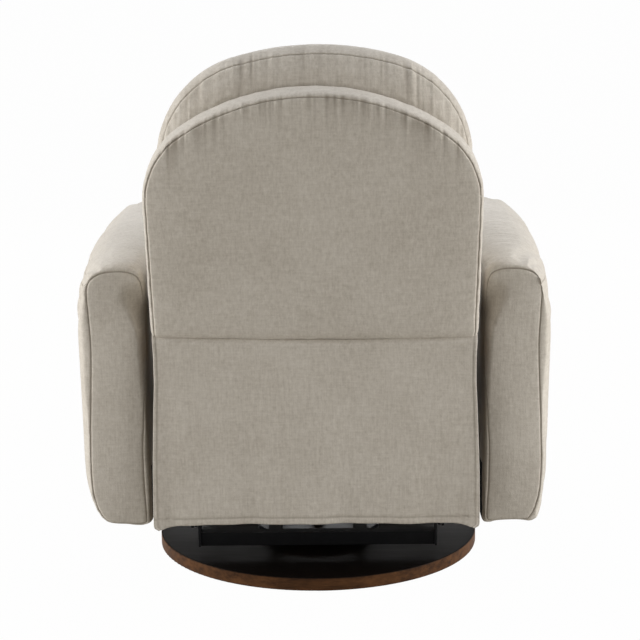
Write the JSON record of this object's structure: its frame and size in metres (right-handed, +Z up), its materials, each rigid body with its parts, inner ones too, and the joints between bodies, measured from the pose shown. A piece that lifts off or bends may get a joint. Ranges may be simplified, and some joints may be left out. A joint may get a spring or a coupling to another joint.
{
  "type": "swivel glider recliner",
  "caption": "Upholstered armchair that swivels on a round wooden plinth, glides on swing links, reclines its arched back and lifts a footrest.",
  "frame": {"origin": "centre of the plinth's underside, on the floor and on the swivel axis", "axes": "+Z up along the swivel axis; the sitter faces -Y; +X is the sitter's left"},
  "size_m": [0.85, 0.8622, 1.005],
  "materials": {
    "upholstery_fabric": "woven performance fabric, matte",
    "walnut": "dark walnut stain, satin",
    "felt": "pressed felt",
    "webbing": "woven elastic webbing",
    "plywood": "sanded, bare",
    "softwood": "planed, bare",
    "black_steel": "black powder coat",
    "bright_steel": "zinc plated",
    "nylon": "natural nylon"
  },
  "bodies": {
    "base": {"base_felt": "felt", "base_disc": "walnut", "swivel_lower_race": "bright_steel", "race_screws": "bright_steel", "race_balls": "bright_steel", "ball_cage": "nylon", "king_pin": "bright_steel", "king_nut": "bright_steel"},
    "carriage": {"swivel_upper_race": "bright_steel", "carriage_crossbars": "black_steel", "carriage_rails": "black_steel", "carriage_bolts": "bright_steel", "carriage_uprights": "black_steel", "upper_glide_pins": "bright_steel"},
    "front_glide": {"front_glide_links": "black_steel", "front_link_bushes": "nylon"},
    "rear_glide": {"rear_glide_links": "black_steel", "rear_link_bushes": "nylon"},
    "chassis": {"side_plates": "black_steel", "rail_screws": "bright_steel", "batten_bolts": "bright_steel", "cross_tubes": "black_steel", "glide_hangers": "black_steel", "lower_glide_pins": "bright_steel", "lever_bolt": "bright_steel", "seat_side_rails": "softwood", "seat_end_rails": "softwood", "front_border": "upholstery_fabric", "seat_springs": "bright_steel", "spring_clips": "nylon", "deck_pad": "felt", "seat_cushion": "upholstery_fabric", "arm_panels": "plywood", "arm_battens": "softwood", "left_arm_pad": "upholstery_fabric", "right_arm_pad": "upholstery_fabric", "back_hinge_pins": "bright_steel", "idler_pins": "bright_steel"},
    "back": {"back_stiles": "softwood", "back_cross_rails": "softwood", "back_head_panel": "plywood", "back_straps": "webbing", "back_shell": "upholstery_fabric", "back_cushion": "upholstery_fabric", "back_brackets": "black_steel", "bracket_screws": "bright_steel"},
    "skirt": {"back_skirt": "upholstery_fabric"},
    "footrest_drive": {"drive_links": "black_steel", "torque_tube": "black_steel", "crank_rivets": "bright_steel"},
    "footrest_idler": {"idler_links": "black_steel"},
    "footrest_carrier": {"carrier_links": "black_steel", "carrier_rivets": "bright_steel"},
    "footrest_tilt_bar": {"tilt_bars": "black_steel", "tilt_rivets": "bright_steel"},
    "footrest": {"footrest_brackets": "black_steel", "footrest_board": "plywood", "footrest_pad": "upholstery_fabric", "footrest_screws": "bright_steel"},
    "lever": {"release_lever": "black_steel"}
  },
  "joints": [
    {"name": "swivel", "type": "hinge", "parent": "base", "child": "carriage", "pos_m": [0, 0, 0.035], "axis": [0, 0, 1], "continuous": true},
    {"name": "glide", "type": "hinge", "parent": "carriage", "child": "front_glide", "pos_m": [0, -0.15, 0.19], "axis": [1, 0, 0], "range_deg": [-18, 18]},
    {"name": "glide_rear_links", "type": "hinge", "parent": "carriage", "child": "rear_glide", "pos_m": [0, 0.15, 0.19], "axis": [1, 0, 0], "range_deg": [-18, 18]},
    {"name": "glide_level", "type": "hinge", "parent": "front_glide", "child": "chassis", "pos_m": [0, -0.15, 0.09], "axis": [1, 0, 0], "range_deg": [-18, 18]},
    {"name": "recline", "type": "hinge", "parent": "chassis", "child": "back", "pos_m": [0, 0.215, 0.318], "axis": [-1, 0, 0], "range_deg": [0, 32]},
    {"name": "skirt_hang", "type": "hinge", "parent": "back", "child": "skirt", "pos_m": [0, 0.345, 0.488], "axis": [-1, 0, 0], "range_deg": [-32, 0]},
    {"name": "footrest_extend", "type": "hinge", "parent": "chassis", "child": "footrest_drive", "pos_m": [0, -0.245, 0.305], "axis": [-1, 0, 0], "range_deg": [0, 130]},
    {"name": "footrest_idle", "type": "hinge", "parent": "chassis", "child": "footrest_idler", "pos_m": [0, -0.31657, 0.32741], "axis": [-1, 0, 0], "range_deg": [0, 130]},
    {"name": "footrest_carry", "type": "hinge", "parent": "footrest_drive", "child": "footrest_carrier", "pos_m": [0, -0.13573, 0.17477], "axis": [-1, 0, 0], "range_deg": [-130, 0]},
    {"name": "footrest_tilt_link", "type": "hinge", "parent": "footrest_drive", "child": "footrest_tilt_bar", "pos_m": [0, -0.11323, 0.14796], "axis": [-1, 0, 0], "range_deg": [-130, 0]},
    {"name": "footrest_tilt", "type": "hinge", "parent": "footrest_carrier", "child": "footrest", "pos_m": [0, -0.36, 0.245], "axis": [-1, 0, 0], "range_deg": [0, 90]},
    {"name": "release", "type": "hinge", "parent": "chassis", "child": "lever", "pos_m": [-0.2955, -0.06, 0.357], "axis": [-1, 0, 0], "range_deg": [0, 20], "stiffness_Nm_per_rad": 1.5}
  ],
  "couplings": [
    {"joint": "glide_rear_links", "follows": "glide", "ratio": 1},
    {"joint": "glide_level", "follows": "glide", "ratio": -1},
    {"joint": "skirt_hang", "follows": "recline", "ratio": -1},
    {"joint": "footrest_idle", "follows": "footrest_extend", "ratio": 1},
    {"joint": "footrest_carry", "follows": "footrest_extend", "ratio": -1},
    {"joint": "footrest_tilt_link", "follows": "footrest_extend", "ratio": -1},
    {"joint": "footrest_tilt", "follows": "footrest_extend", "ratio": 0.6923}
  ]
}
